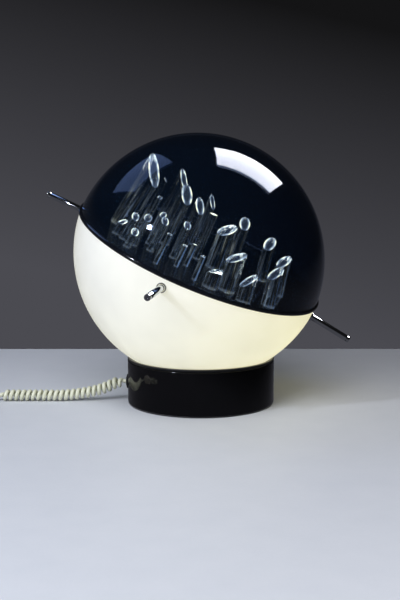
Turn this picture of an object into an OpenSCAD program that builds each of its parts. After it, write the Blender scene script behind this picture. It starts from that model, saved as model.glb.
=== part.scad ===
// Tilting ball table lamp: a white bowl and a smoked dome make a ball that
// lies loose in a low black ring, with a tray of clear light rods inside.
// Millimetres, +Z up. The origin is the centre of the ring's underside.
// In the ball's own frame +Z is the polar axis, +X points along the front
// handle rod and +Y along the right-hand one.

/* [Base ring] */
// Outside diameter of the ring
base_d = 187; // [175:1:230]
// Height of the ring, from the table to the top of its seat
base_h = 59; // [52:1:80]
// Wall of the tube
base_wall = 4; // [3:0.5:6]
// Thickness of the felt under the tube
foot_h = 1.5; // [1:0.5:3]
// Thickness of the seat ring above the tube
seat_cap_h = 3; // [2:0.5:5]
// Depth of the seat ring's skirt inside the tube
seat_skirt_h = 6; // [4:1:10]
// Thickness of that skirt
seat_skirt_t = 3; // [2:0.5:5]

/* [Ball] */
// Diameter of the ball at its rim
ball_d = 320; // [290:1:385]
// Depth of the white bowl
bowl_depth = 157; // [140:1:165]
// Height of the smoked dome
dome_h = 152; // [130:1:165]
// Wall of the bowl
bowl_wall = 4; // [3:0.5:6]
// Wall of the dome
dome_wall = 3; // [2:0.5:5]
// Thickness of the rolled bead round the dome's edge
bead_d = 6; // [4.5:0.5:9]
// How far the bead stands out from the ball
bead_out = 2.2; // [1.5:0.1:3]
// How far the bead hangs down over the bowl
bead_drop = 1.5; // [0.5:0.1:2.5]

/* [How the ball lies] */
// Lean of the polar axis from upright
ball_lean = 24; // [0:1:26]
// Direction that the polar axis leans in, counted from +X
ball_turn = -24.3; // [-60:0.1:60]
// Turn of the ball about its own polar axis
ball_spin = -79; // [-180:1:180]

/* [Handle rods] */
// Diameter of a handle rod
handle_d = 8; // [6:0.5:10]
// Reach of a rod's tip from the polar axis
handle_reach = 215; // [200:1:260]
// Distance of the rods below the rim
handle_drop = 12; // [10:0.5:20]
// Diameter of the threaded stud that goes through the bowl
stud_d = 5; // [4:0.5:6]
// Bend of the right-hand rod at its root
right_rod_bend = 7; // [0:1:10]
// Diameter of the collar round a rod's root
collar_d = 12; // [11:0.5:16]
// How far a collar stands out from the bowl
collar_h = 2.5; // [1.5:0.5:4]
// Diameter of the boss inside the bowl
boss_d = 14; // [12:0.5:18]
// Length of that boss
boss_h = 15; // [10:1:20]

/* [Light rods] */
// Thickness of the black plate that holds them
plate_t = 4; // [3:0.5:6]
// Height above the plate of the point that all the rods lean towards
rod_focus = 600; // [400:10:2000]
// How far a rod's foot stands out under the plate
rod_foot = 2; // [1:0.5:4]

/* [Lamp holder] */
// Diameter of the threaded tube at the bottom pole
tube_d = 10; // [8:0.5:12]
// Diameter of the holder's body
holder_d = 40; // [38:1:50]
// Height of the holder's body
holder_h = 46; // [40:1:60]
// Diameter of the bulb
bulb_d = 45; // [40:1:60]

/* [Cord] */
// Diameter of the cord
cord_d = 5; // [4:0.5:6]
// Outside diameter of the curled stretch
curl_d = 15; // [12:0.5:18]
// Height of the cord's hole in the ring
cord_hole_z = 26; // [22:1:30]
// Diameter of that hole
cord_hole_d = 13; // [11:0.5:16]
// Diameter of the grommet's flanges
grommet_d = 18; // [17:0.5:22]

/* [Hidden] */

gap = 0.3;        // between pieces that move against each other
fit = 0.05;       // radial play of a shaft in its hole
eps = 0.01;
$fn = 96;

base_r = base_d / 2;
base_in_r = base_r - base_wall;
tube_top = base_h - seat_cap_h - gap;

ball_rim_r = ball_d / 2;
ball_r = (ball_rim_r * ball_rim_r + bowl_depth * bowl_depth) / (2 * bowl_depth);
rim_z = bowl_depth - ball_r;
dome_r = (ball_rim_r * ball_rim_r + dome_h * dome_h) / (2 * dome_h);
dome_z = rim_z + dome_h - dome_r;
bowl_in_r = ball_r - bowl_wall;
ball_z = base_h + sqrt(ball_r * ball_r - base_in_r * base_in_r);
// the cord's way out at the bottom pole stays inside the seat
lean = min(ball_lean, asin(min(1, (base_in_r - gap - seat_skirt_t - 5.3) / (ball_r + 12))));

handle_z = rim_z - handle_drop;
handle_root = sqrt(ball_r * ball_r - handle_z * handle_z);
boss_root = sqrt(bowl_in_r * bowl_in_r - handle_z * handle_z);

plate_z = handle_z + boss_d / 2 + gap;
plate_top = plate_z + plate_t;
plate_r = sqrt(bowl_in_r * bowl_in_r - plate_z * plate_z) - 2;

// One row a rod: front, right, diameter, height, slant of its top, way that the top faces
rods = [
    [23, -104, 28, 80, 50, 75], [0, -87, 6, 71, 35, 90], [44, -73, 6, 56, 30, 0],
    [-17, -67, 18, 78, 50, 80], [20, -46, 18, 68, 50, 50], [6, -25, 15, 59, 50, 55],
    [-34, -18, 12, 63, 55, 75], [22, 0, 10, 60, 0, 0], [27, 26, 22, 50, 35, -40],
    [-11, 40, 14, 59, 45, 20], [-16, 81, 15, 48, 45, -10], [16, 110, 17, 42, 40, -35],
    [96, 60, 22, 40, 35, -45], [80, 111, 17, 39, 45, -40], [109, 85, 18, 25, 45, -50],
    [114, 43, 18, 19, 30, -120], [65, -19, 10, 43, 40, 30], [80, -45, 10, 40, 40, 30],
    [54, -56, 8, 40, 40, 0], [83, -81, 10, 31, 40, 25], [75, -93, 10, 17, 40, -40],
    [88, -65, 10, 37, 40, 10], [107, -67, 10, 20, 40, 20], [120, -25, 6, 38, 20, 0],
    [73, 1, 6, 28, 0, 0], [94, -6, 6, 27, 20, 0], [113, 23, 6, 29, 20, 0]
];
function rod_name(i) = str("light_rod_", i < 9 ? "0" : "", i + 1);

// Lamp holder, measured from the bowl's inside at the bottom pole
tube_r = tube_d / 2;
tube_wall = 1.2;
tube_out = 8;             // how far the tube stands out under the bowl
tube_in = 16;             // and how far it stands up inside
tube_flange_r = 8;
tube_flange_h = 2;
nut_h = 4;
nut_flats = 16;
pole_in_z = -bowl_in_r + 0.5;
holder_z = pole_in_z + nut_h;
holder_r = holder_d / 2;
holder_wall = 2.5;
holder_floor = 8;
insert_h = 12;
insert_r = holder_r - holder_wall - fit;
sleeve_z = holder_z + holder_floor + insert_h;
sleeve_h = 24;
sleeve_r = 14.6;
sleeve_wall = 0.7;
cap_r = 13.2;
cap_h = 22;
cap_z = sleeve_z + 3;
bulb_z = cap_z + cap_h + bulb_d / 2 + 4;
glass_wall = 1;
contact_r = 5;

bush_tip = 12;            // length of the cord bush under the bowl
bush_r = 8;
bush_tip_r = 4.5;

// Cord routes: points chosen by hand, in millimetres from the ring's centre
// the cord outside moves with the base's wall, and the riser keeps under the ball
wall_out = [base_r - 93.5, 0, 0];
riser_room = min(1, (ball_z - ball_r) / 31.6);
function moved_out(route) = [for (p = route) p - wall_out];
inner_route = concat(moved_out([[-96, 0, 26], [-91, 0, 26], [-85, 0, 26], [-79.5, 0, 23],
                                [-77, 0, 16], [-74, 0, 8]]),
                     [[-66, 0, 3.2], [-54, 0, 2.6], [-30, 0, 2.6], [-12, 0, 2.6], [-3.5, 0, 4.4],
                      [0, 0, 7.4 * riser_room], [0, 0, 10.4 * riser_room]]);
curly_route = moved_out([[-96, 0, 26], [-102, 0, 26], [-111, 0, 23], [-121, 0, 18.5],
                         [-132, 0, 14.5], [-145, 0, 11.5], [-161, 0, 9], [-180, 0, 7.5],
                         [-205, 0, 7.5], [-230, 0, 7.5], [-258, 0, 7.5]]);
to_switch_route = moved_out([[-258, 0, 7.5], [-266, 0, 4.5], [-275, -3, 2.8], [-282, -9, 2.8],
                             [-286, -16, 4.5], [-288, -25, 7.5], [-288, -33, 9]]);
to_coil_route = moved_out([[-288, -91, 9], [-288, -98, 7.5], [-288, -106, 4],
                           [-288, -113, 2.6], [-288, -120, 2.5]]);
to_plug_route = moved_out([[-360, -119, 7.5], [-360, -108, 6.6], [-360, -99, 6.5],
                           [-360, -91, 6.85]]);
riser_in_route = [for (p = [[0, 0, 12.6], [0, 0, 15.4], [-4, 1.8, 19], [-12, 5.5, 20.5],
                            [-25, 11, 19], [-40, 18, 16], [-54, 25, 16.5]])
                  [p.x, p.y, p.z * riser_room]];

coil_at = [-324, -132, 0] - wall_out;
coil_mid_r = 28.5;
coil_w = 20;
coil_h = 10;

switch_at = [-288, -62, 0] - wall_out;
switch_l = 58;
switch_w = 24;
switch_half_h = 9;
switch_wall = 2;
screw_x = 5.6;
screw_y = 19.5;
rocker_r = 7;
rocker_w = 8;
rocker_z = 14;
rocker_lean = 7;
pivot_r = 1.5;
pivot_l = 1.6;

plug_at = [-360, -91, 6.85] - wall_out;
plug_t = 13.7;
plug_w = 35;
plug_l = 46;
relief_l = 20;
pin_d = 4;
pin_l = 19;
pin_x = 8.9;
pin_depth = 18;

base_black = "#15151a";
opal_white = "#f4f2e6";
smoke = "#1a2440";
chrome = "#c9ccd0";
cord_white = "#ece8dc";

// ---- helpers ---------------------------------------------------------------

// Puts a piece from the ball's own frame into its place
module in_ball() {
    translate([0, 0, ball_z])
        rotate([0, 0, ball_turn]) rotate([0, lean, 0]) rotate([0, 0, ball_spin]) children();
}

// Profile of a spherical shell between two heights, centred at height c
module cap_profile(r, wall, c, low, high) {
    intersection() {
        difference() {
            translate([0, c]) circle(r = r, $fn = 200);
            translate([0, c]) circle(r = r - wall, $fn = 200);
        }
        translate([0, low]) square([r + 1, high - low]);
    }
}

function unit(v) = v / norm(v);

// A point of the smooth curve through p, at fraction t between points i and i + 1
function curve_point(p, i, t) =
    let (a = p[max(i - 1, 0)], b = p[i], c = p[i + 1], d = p[min(i + 2, len(p) - 1)])
    0.5 * (2 * b + (c - a) * t + (2 * a - 5 * b + 4 * c - d) * t * t
           + (3 * b - a - 3 * c + d) * t * t * t);

function curve(p, steps) = concat(
    [for (i = [0 : len(p) - 2], s = [0 : steps - 1]) curve_point(p, i, s / steps)],
    [p[len(p) - 1]]);

function tangent(c, i) = unit(c[min(i + 1, len(c) - 1)] - c[max(i - 1, 0)]);

// A cord: one tube of radius r swept along the smooth curve through a route;
// level is a direction that the route never takes
module cord(route, r, sides, steps, level) {
    c = curve(route, steps);
    rings = len(c);
    points = [for (i = [0 : rings - 1], k = [0 : sides - 1])
        let (t = tangent(c, i), side = unit(cross(t, level)), over = cross(side, t), a = 360 * k / sides)
        c[i] + r * (cos(a) * side + sin(a) * over)];
    walls = [for (i = [0 : rings - 2], k = [0 : sides - 1])
        [i * sides + k, i * sides + (k + 1) % sides,
         (i + 1) * sides + (k + 1) % sides, (i + 1) * sides + k]];
    first = [for (k = [sides - 1 : -1 : 0]) k];
    last = [for (k = [0 : sides - 1]) (rings - 1) * sides + k];
    polyhedron(points, concat([first], walls, [last]));
}

// ---- base ring -------------------------------------------------------------

module base_ring() {
    color(base_black) difference() {
        translate([0, 0, foot_h]) cylinder(r = base_r, h = tube_top - foot_h);
        translate([0, 0, -1]) cylinder(r = base_in_r, h = base_h + 2);
        translate([-base_r - 1, 0, cord_hole_z]) rotate([0, 90, 0])
            cylinder(d = cord_hole_d, h = 2 * base_wall + 2);
    }
}

module foot_ring() {
    color("#26262a") difference() {
        cylinder(r = base_r - 0.5, h = foot_h);
        translate([0, 0, -1]) cylinder(r = base_in_r + 0.5, h = foot_h + 2);
    }
}

// Rubber grommet: a neck in the hole with a flange on each side of the wall
module cord_grommet() {
    color("#101012") difference() {
        union() {
            translate([-base_r - 2.5, 0, cord_hole_z]) rotate([0, 90, 0])
                cylinder(d = cord_hole_d, h = base_wall + 6.5);
            intersection() {
                translate([-base_r - 1.5, 0, cord_hole_z]) rotate([0, 90, 0])
                    cylinder(d = grommet_d, h = base_wall + 4);
                union() {
                    difference() {
                        cylinder(r = base_r + 2, h = base_h);
                        translate([0, 0, -1]) cylinder(r = base_r, h = base_h + 2);
                    }
                    cylinder(r = base_in_r, h = base_h);
                }
            }
        }
        translate([-base_r - 5, 0, cord_hole_z]) rotate([0, 90, 0])
            cylinder(r = cord_d / 2 + fit, h = base_wall + 20);
    }
}

// Loose ring between the tube and the ball: a flat top, a spherical seat and a skirt
module seat_ring() {
    skirt_r = base_in_r - gap;
    color("#1b1b20") rotate_extrude($fn = 120) difference() {
        union() {
            translate([skirt_r - seat_skirt_t, base_h - seat_cap_h - seat_skirt_h])
                square([seat_skirt_t, seat_cap_h + seat_skirt_h]);
            translate([skirt_r - seat_skirt_t, base_h - seat_cap_h])
                square([base_r - skirt_r + seat_skirt_t, seat_cap_h]);
        }
        translate([0, ball_z]) circle(r = ball_r + gap, $fn = 200);
    }
}

// ---- cord ------------------------------------------------------------------

module inner_cord() {
    color(cord_white) cord(inner_route, cord_d / 2, 8, 2, [0, 1, 0]);
}

function ball_axis() = [sin(lean) * cos(ball_turn), sin(lean) * sin(ball_turn), cos(lean)];
function below_ball(distance) = [0, 0, ball_z] - (ball_r + distance) * ball_axis();

module riser_cord() {
    route = concat(riser_in_route, [below_ball(bush_tip + 6), below_ball(bush_tip + gap)]);
    color(cord_white) cord(route, cord_d / 2, 8, 2, [0.41, 0.91, 0]);
}

module curly_cord() {
    color(cord_white) cord(curly_route, curl_d / 2, 12, 2, [0, 1, 0]);
}

module straight_cord() {
    color(cord_white) {
        cord(to_switch_route, cord_d / 2, 8, 2, [0, 0, 1]);
        cord(to_coil_route, cord_d / 2, 8, 1, [0, 0, 1]);
        cord(to_plug_route, cord_d / 2, 8, 1, [0, 0, 1]);
    }
}

module cord_coil() {
    color(cord_white) translate(coil_at) rotate_extrude()
        translate([coil_mid_r - coil_w / 2, 0]) square([coil_w, coil_h]);
}

// Flat two-pin plug with a tapered relief for the cord
module plug_body() {
    color(cord_white) translate(plug_at) difference() {
        union() {
            translate([0, 0, -plug_t / 2]) linear_extrude(plug_t) polygon([
                [-5.5, relief_l - 6], [5.5, relief_l - 6], [plug_w / 2, relief_l + 6],
                [plug_w / 2 - 2, plug_l - 4], [12, plug_l], [-12, plug_l],
                [-plug_w / 2 + 2, plug_l - 4], [-plug_w / 2, relief_l + 6]]);
            rotate([-90, 0, 0]) cylinder(r1 = cord_d / 2 + 1, r2 = 5.5, h = relief_l);
        }
        for (x = [-pin_x, pin_x]) translate([x, plug_l - pin_depth, 0]) rotate([-90, 0, 0])
            cylinder(d = pin_d + 2 * fit, h = plug_l);
    }
}

module plug_pins() {
    color(chrome) translate(plug_at) for (x = [-pin_x, pin_x])
        translate([x, plug_l - pin_depth, 0]) rotate([-90, 0, 0])
            cylinder(d = pin_d, h = pin_depth + pin_l);
}

// ---- cord switch -----------------------------------------------------------

// Round-ended outline with its ends cut flat where the cord goes in
module switch_outline(inset) {
    w = switch_w - 2 * inset;
    intersection() {
        union() {
            square([w, switch_l - switch_w + 6], center = true);
            for (s = [-1, 1]) translate([0, s * ((switch_l - switch_w) / 2 + 3)]) circle(d = w);
        }
        square([w, switch_l - 2 * inset], center = true);
    }
}

module switch_cord_hole() {
    translate([0, 0, switch_half_h]) rotate([90, 0, 0])
        cylinder(r = cord_d / 2 + fit, h = switch_l + 2, center = true);
}

module screw_places() {
    for (s = [-1, 1]) translate([s * screw_x, s * screw_y, 0]) children();
}

module switch_base() {
    color(cord_white) translate(switch_at) difference() {
        linear_extrude(switch_half_h) switch_outline(0);
        difference() {
            translate([0, 0, switch_wall]) linear_extrude(switch_half_h) switch_outline(switch_wall);
            screw_places() translate([0, 0, -1]) cylinder(d = 6, h = switch_half_h + 1);
        }
        screw_places() translate([0, 0, switch_wall]) cylinder(r = 1.4 + fit, h = switch_half_h);
        switch_cord_hole();
    }
}

module switch_cover() {
    color(cord_white) translate(switch_at) difference() {
        union() {
            difference() {
                translate([0, 0, switch_half_h]) linear_extrude(switch_half_h) switch_outline(0);
                difference() {
                    translate([0, 0, switch_half_h - 1])
                        linear_extrude(switch_half_h + 1 - switch_wall) switch_outline(switch_wall);
                    screw_places() translate([0, 0, switch_half_h - 1]) cylinder(d = 6, h = switch_half_h);
                }
            }
            // Two ribs that carry the rocker's pivots
            for (s = [-1, 1]) translate([s * (rocker_w / 2 + gap + 1) - 1, -4, rocker_z - 3])
                cube([2, 8, 2 * switch_half_h - rocker_z + 3 - eps]);
        }
        translate([0, 0, 2 * switch_half_h])
            cube([rocker_w + 2 * gap, 2 * rocker_r + 2 * gap, 2 * switch_half_h], center = true);
        translate([0, 0, rocker_z]) rotate([0, 90, 0])
            cylinder(r = pivot_r + fit, h = rocker_w + 2 * gap + 4.2, center = true);
        screw_places() translate([0, 0, switch_half_h - 1]) cylinder(r = 1.6, h = switch_half_h + 2);
        screw_places() translate([0, 0, 2 * switch_half_h - 1.5]) cylinder(r = 2.7, h = 2);
        switch_cord_hole();
    }
}

module switch_screws() {
    color(chrome) translate(switch_at) screw_places() difference() {
        union() {
            translate([0, 0, switch_wall + 1]) cylinder(r = 1.4, h = 2 * switch_half_h - switch_wall - 2.5);
            translate([0, 0, 2 * switch_half_h - 1.5]) cylinder(r = 2.6, h = 1.2);
        }
        translate([0, 0, 2 * switch_half_h]) cube([6, 0.8, 1.6], center = true);
    }
}

// Drum on two pivots, with its top cut to a shallow V; it rests rocked to one side
module switch_rocker() {
    color("#b9382c") translate(switch_at + [0, 0, rocker_z]) rotate([rocker_lean, 0, 0]) difference() {
        union() {
            rotate([0, 90, 0]) cylinder(r = rocker_r, h = rocker_w, center = true);
            rotate([0, 90, 0]) cylinder(r = pivot_r, h = rocker_w + 2 * pivot_l, center = true);
        }
        for (s = [-1, 1]) translate([0, 0, 4.6]) rotate([s * 8, 0, 0])
            translate([0, s * 10, 5]) cube([rocker_w + 2, 20, 10], center = true);
        translate([0, 0, -8.5]) cube([rocker_w + 2, 20, 10], center = true);
    }
}

// ---- bowl and dome ---------------------------------------------------------

module four_ways() {
    for (a = [0 : 90 : 270]) rotate([0, 0, a]) children();
}

module along_rod(from) {
    translate([from, 0, handle_z]) rotate([0, 90, 0]) children();
}

module opal_bowl() {
    color(opal_white) in_ball() difference() {
        rotate_extrude($fn = 160) cap_profile(ball_r, bowl_wall, 0, -ball_r - 1, rim_z);
        translate([0, 0, -ball_r - 5]) cylinder(r = tube_r + fit, h = bowl_wall + 10);
        four_ways() along_rod(boss_root - 10) cylinder(r = stud_d / 2 + fit, h = bowl_wall + 20);
    }
}

module smoked_dome() {
    bead_r = bead_d / 2;
    bead_at = [ball_rim_r + bead_out - bead_r, rim_z - bead_drop + bead_r];
    color(smoke, 0.5) in_ball() rotate_extrude($fn = 160) union() {
        cap_profile(dome_r, dome_wall, dome_z, rim_z + gap, dome_z + dome_r + 1);
        difference() {
            translate(bead_at) circle(r = bead_r, $fn = 40);
            translate([0, rim_z - 20]) square([ball_rim_r + gap, 20 + gap]);
        }
    }
}

// ---- handle rods -----------------------------------------------------------

// A rod outside the wall and its stud through the wall; the rod may be bent at its root
module handle_rod(bend) {
    color(chrome) {
        translate([handle_root, 0, handle_z]) rotate([0, bend, 0]) rotate([0, 90, 0]) {
            cylinder(d = handle_d, h = handle_reach - handle_root - 0.5);
            translate([0, 0, handle_reach - handle_root - 0.5])
                cylinder(d1 = handle_d, d2 = handle_d - 1, h = 0.5);
        }
        along_rod(boss_root - boss_h + 2) cylinder(d = stud_d, h = handle_root - boss_root + boss_h);
    }
}

module front_handle_rod() { in_ball() handle_rod(0); }
module right_handle_rod() { in_ball() rotate([0, 0, 90]) handle_rod(right_rod_bend); }
module back_handle_rod() { in_ball() rotate([0, 0, 180]) handle_rod(0); }
module left_handle_rod() { in_ball() rotate([0, 0, 270]) handle_rod(0); }

module rod_collars() {
    color(chrome) in_ball() difference() {
        four_ways() along_rod(handle_root - 2) cylinder(d = collar_d, h = collar_h + 2);
        sphere(r = ball_r, $fn = 400);
        four_ways() along_rod(handle_root - 3) cylinder(d = handle_d + 1.4, h = collar_h + 8);
    }
}

module rod_bosses() {
    color("#a9abae") in_ball() difference() {
        intersection() {
            four_ways() along_rod(boss_root - boss_h) cylinder(d = boss_d, h = boss_h + 4);
            sphere(r = bowl_in_r, $fn = 160);
        }
        four_ways() along_rod(boss_root - boss_h - 1) cylinder(r = stud_d / 2 + fit, h = boss_h + 8);
    }
}

// ---- tray of light rods ----------------------------------------------------

// Turns a light rod's own axis (+Z, from its foot) towards the focus
module at_rod(rod) {
    away = norm([rod[0], rod[1]]);
    translate([rod[0], rod[1], plate_top])
        rotate([0, 0, atan2(rod[1], rod[0])]) rotate([0, -atan(away / rod_focus), 0])
        rotate([0, 0, -atan2(rod[1], rod[0])]) children();
}

module light_rod(rod) {
    r = rod[2] / 2;
    top = rod[3] + r * tan(rod[4]);
    color("#cfe0e6", 0.5) in_ball() intersection() {
        at_rod(rod) difference() {
            translate([0, 0, -plate_t - 8]) cylinder(r = r, h = plate_t + 8 + top + 1);
            translate([0, 0, rod[3]]) rotate([0, 0, rod[5]]) rotate([0, rod[4], 0])
                translate([-top, -top, 0]) cube(2 * top);
        }
        translate([0, 0, plate_z - rod_foot]) cylinder(r = plate_r, h = dome_h);
    }
}

module rod_plate() {
    color("#0c0c10") in_ball() difference() {
        translate([0, 0, plate_z]) cylinder(r = plate_r, h = plate_t);
        for (rod = rods) at_rod(rod) translate([0, 0, -plate_t - 5])
            cylinder(d = rod[2] + 2 * fit, h = plate_t + 10);
    }
}

// ---- lamp holder and bulb --------------------------------------------------

module pole_tube() {
    color("#b9a15a") in_ball() difference() {
        union() {
            translate([0, 0, -ball_r - tube_out]) cylinder(r = tube_r, h = tube_out + bowl_wall + tube_in);
            difference() {
                translate([0, 0, -ball_r - tube_flange_h]) cylinder(r = tube_flange_r, h = tube_flange_h + 1);
                sphere(r = ball_r, $fn = 160);
            }
        }
        translate([0, 0, -ball_r - tube_out - 1])
            cylinder(r = tube_r - tube_wall, h = tube_out + bowl_wall + tube_in + 2);
    }
}

module pole_nut() {
    color("#b9a15a") in_ball() translate([0, 0, pole_in_z]) difference() {
        cylinder(d = nut_flats / cos(30), h = nut_h, $fn = 6);
        translate([0, 0, -1]) cylinder(r = tube_r + fit, h = nut_h + 2);
    }
}

// Swivelling bush on the tube's outer end; the cord comes out of its tip
module cord_bush() {
    top = -ball_r - tube_flange_h - gap;
    color("#101012") in_ball() difference() {
        union() {
            translate([0, 0, -ball_r - 6]) cylinder(r = bush_r, h = top + ball_r + 6);
            translate([0, 0, -ball_r - bush_tip]) cylinder(r1 = bush_tip_r, r2 = bush_r, h = bush_tip - 6);
        }
        translate([0, 0, -ball_r - tube_out - gap]) cylinder(r = tube_r + fit, h = tube_out + 2);
        translate([0, 0, -ball_r - bush_tip - 1]) cylinder(r = cord_d / 2 + fit, h = bush_tip);
    }
}

module holder_body() {
    color("#141416") in_ball() translate([0, 0, holder_z]) difference() {
        cylinder(r = holder_r, h = holder_h);
        translate([0, 0, holder_floor]) cylinder(r = holder_r - holder_wall, h = holder_h);
        translate([0, 0, -1]) cylinder(r = tube_r + fit, h = holder_floor + 2);
    }
}

module holder_insert() {
    color("#e9e4d8") in_ball() translate([0, 0, holder_z + holder_floor]) difference() {
        cylinder(r = insert_r, h = insert_h);
        translate([0, 0, insert_h - 2]) cylinder(r = contact_r + fit, h = 3);
        translate([0, 0, -1]) cylinder(r = tube_r + 0.5, h = 6);
    }
}

module holder_contact() {
    color("#b9a15a") in_ball() translate([0, 0, sleeve_z - 2]) cylinder(r = contact_r, h = 2.5);
}

module holder_sleeve() {
    color("#b9a15a") in_ball() translate([0, 0, sleeve_z]) difference() {
        cylinder(r = sleeve_r, h = sleeve_h);
        translate([0, 0, -1]) cylinder(r = sleeve_r - sleeve_wall, h = sleeve_h + 2);
    }
}

module bulb_cap() {
    color(chrome) in_ball() union() {
        translate([0, 0, cap_z]) cylinder(r = cap_r, h = cap_h);
        translate([0, 0, cap_z - 2.4]) cylinder(r1 = 4.5, r2 = cap_r - 2, h = 2.4);
    }
}

module bulb_glass() {
    neck_z = cap_z + cap_h;
    color("#fff6dc") in_ball() rotate_extrude($fn = 80) difference() {
        union() {
            translate([0, bulb_z]) circle(d = bulb_d, $fn = 80);
            translate([0, neck_z]) square([cap_r - 0.6, bulb_z - neck_z]);
        }
        translate([0, bulb_z]) circle(d = bulb_d - 2 * glass_wall, $fn = 80);
        translate([0, neck_z - 1]) square([cap_r - 0.6 - glass_wall, bulb_z - neck_z]);
        translate([-bulb_d, neck_z - bulb_d]) square([bulb_d, 4 * bulb_d]);
    }
}

base_ring();
foot_ring();
cord_grommet();
inner_cord();
curly_cord();
straight_cord();
cord_coil();
plug_body();
plug_pins();
switch_base();
switch_cover();
switch_screws();
switch_rocker();
seat_ring();
riser_cord();
cord_bush();
opal_bowl();
pole_tube();
pole_nut();
holder_body();
holder_insert();
holder_sleeve();
holder_contact();
bulb_glass();
bulb_cap();
front_handle_rod();
right_handle_rod();
back_handle_rod();
left_handle_rod();
rod_collars();
rod_bosses();
rod_plate();
smoked_dome();
for (i = [0 : len(rods) - 1]) light_rod(rods[i]);
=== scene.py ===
import bpy, bmesh
from math import radians, cos, sin, pi, sqrt, atan2, tan
from mathutils import Matrix, Vector


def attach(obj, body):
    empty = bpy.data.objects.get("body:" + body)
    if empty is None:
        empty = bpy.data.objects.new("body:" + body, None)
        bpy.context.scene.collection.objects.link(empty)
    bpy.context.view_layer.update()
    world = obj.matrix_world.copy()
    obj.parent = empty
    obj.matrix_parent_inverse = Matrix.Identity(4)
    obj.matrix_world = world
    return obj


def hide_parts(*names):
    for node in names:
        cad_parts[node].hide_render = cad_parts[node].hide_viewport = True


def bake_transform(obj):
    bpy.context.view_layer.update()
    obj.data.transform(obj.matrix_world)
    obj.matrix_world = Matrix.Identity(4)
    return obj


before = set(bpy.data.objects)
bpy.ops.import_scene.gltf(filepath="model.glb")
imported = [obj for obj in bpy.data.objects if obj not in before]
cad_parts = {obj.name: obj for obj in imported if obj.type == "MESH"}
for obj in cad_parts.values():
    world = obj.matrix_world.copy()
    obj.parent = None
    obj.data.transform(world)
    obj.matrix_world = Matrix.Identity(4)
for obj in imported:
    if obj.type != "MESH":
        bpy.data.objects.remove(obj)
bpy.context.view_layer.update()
scene = bpy.context.scene
mm = 0.001
print("frame loaded")

# ---- camera ----
view = {"place": (-0.0034, -1.3142, 0.3085), "down": 7.69, "turn": -0.10, "lens": 62.5}

lens = bpy.data.cameras.new("camera")
lens.lens = view["lens"]
camera = bpy.data.objects.new("camera", lens)
camera.location = view["place"]
camera.rotation_euler = (radians(90 - view["down"]), 0, radians(view["turn"]))
scene.collection.objects.link(camera)
scene.camera = camera


# ---- materials ----
def paint(code):
    # sRGB hex to the linear colour that a socket takes
    parts = [int(code[i:i + 2], 16) / 255 for i in (1, 3, 5)]
    return tuple(p / 12.92 if p <= 0.04045 else ((p + 0.055) / 1.055) ** 2.4 for p in parts) + (1.0,)


def addNode(tree, kind, settings=None, links=None):
    # settings: socket or property to value; links: input socket to an output socket
    node = tree.nodes.new(kind)
    for key, value in (settings or {}).items():
        if isinstance(key, int) or key in node.inputs:
            node.inputs[key].default_value = value
        else:
            setattr(node, key, value)
    for key, output in (links or {}).items():
        tree.links.new(output, node.inputs[key])
    return node


def startMaterial(name):
    material = bpy.data.materials.new(name)
    material.use_nodes = True
    tree = material.node_tree
    tree.nodes.clear()
    end = tree.nodes.new("ShaderNodeOutputMaterial")
    place = addNode(tree, "ShaderNodeTexCoord")
    return material, tree, end, place


def blendColours(tree, factor, low, high):
    ramp = addNode(tree, "ShaderNodeMix", {"data_type": "RGBA"})
    ramp.inputs[6].default_value = low
    ramp.inputs[7].default_value = high
    tree.links.new(factor, ramp.inputs[0])
    return ramp.outputs[2]


def rangeOf(tree, value, low, high, fromLow=0.0, fromHigh=1.0):
    limits = {"From Min": fromLow, "From Max": fromHigh, "To Min": low, "To Max": high}
    return addNode(tree, "ShaderNodeMapRange", limits, {"Value": value}).outputs["Result"]


def noiseOf(tree, vector, scale, detail, settings=None):
    return addNode(tree, "ShaderNodeTexNoise", {"Scale": scale, "Detail": detail, **(settings or {})}, {"Vector": vector})


def reliefOf(tree, noise, strength, depthMm):
    return addNode(tree, "ShaderNodeBump", {"Strength": strength, "Distance": depthMm * mm}, {"Height": noise.outputs["Fac"]})


def solidFinish(name, light, dark, rough, roughSpread, grainMm, settings=None, bump=0.05, bumpMm=0.05):
    # one recipe for the plain solid finishes: a mottled colour, a mottled gloss and a fine relief
    material, tree, end, place = startMaterial(name)
    cloud = noiseOf(tree, place.outputs["Object"], 1000 / (grainMm * 12), 3.0)   # the mottle is 12 grains wide
    fine = noiseOf(tree, place.outputs["Object"], 1000 / grainMm, 4.0)
    shader = addNode(tree, "ShaderNodeBsdfPrincipled", settings, {
        "Base Color": blendColours(tree, cloud.outputs["Fac"], paint(dark), paint(light)),
        "Roughness": rangeOf(tree, fine.outputs["Fac"], rough - roughSpread, rough + roughSpread, 0.3, 0.7),
        "Normal": reliefOf(tree, fine, bump, bumpMm).outputs[0]})
    tree.links.new(shader.outputs[0], end.inputs["Surface"])
    return material


# bright chrome plate on turned rod: a near mirror, a trace uneven
chrome = solidFinish("polishedChrome", "#e2e5e8", "#c9cdd2", 0.09, 0.03, 0.8, {"Metallic": 1.0}, 0.08, 0.02)
# nickel plate on pressed brass: warmer and duller than chrome
nickel = solidFinish("nickelPlate", "#cfccc4", "#b4b0a6", 0.22, 0.06, 0.8, {"Metallic": 1.0}, 0.1, 0.02)
# turned brass, unlacquered: yellow, with a soft tool finish
brass = solidFinish("turnedBrass", "#c8a55a", "#a4823e", 0.28, 0.08, 0.7, {"Metallic": 1.0}, 0.12, 0.03)
# polished black acrylic tube: deep black under a mirror face, with a few fine wipe marks
gloss = solidFinish("polishedBlackAcrylic", "#08080a", "#040405", 0.05, 0.03, 1.2, {"IOR": 1.49}, 0.02, 0.02)
# moulded black ABS: charcoal, satin, with a fine spark texture
blackMoulding = solidFinish("blackMoulding", "#1a1a1d", "#101013", 0.38, 0.06, 0.6, {"IOR": 1.5}, 0.12, 0.05)
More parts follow.
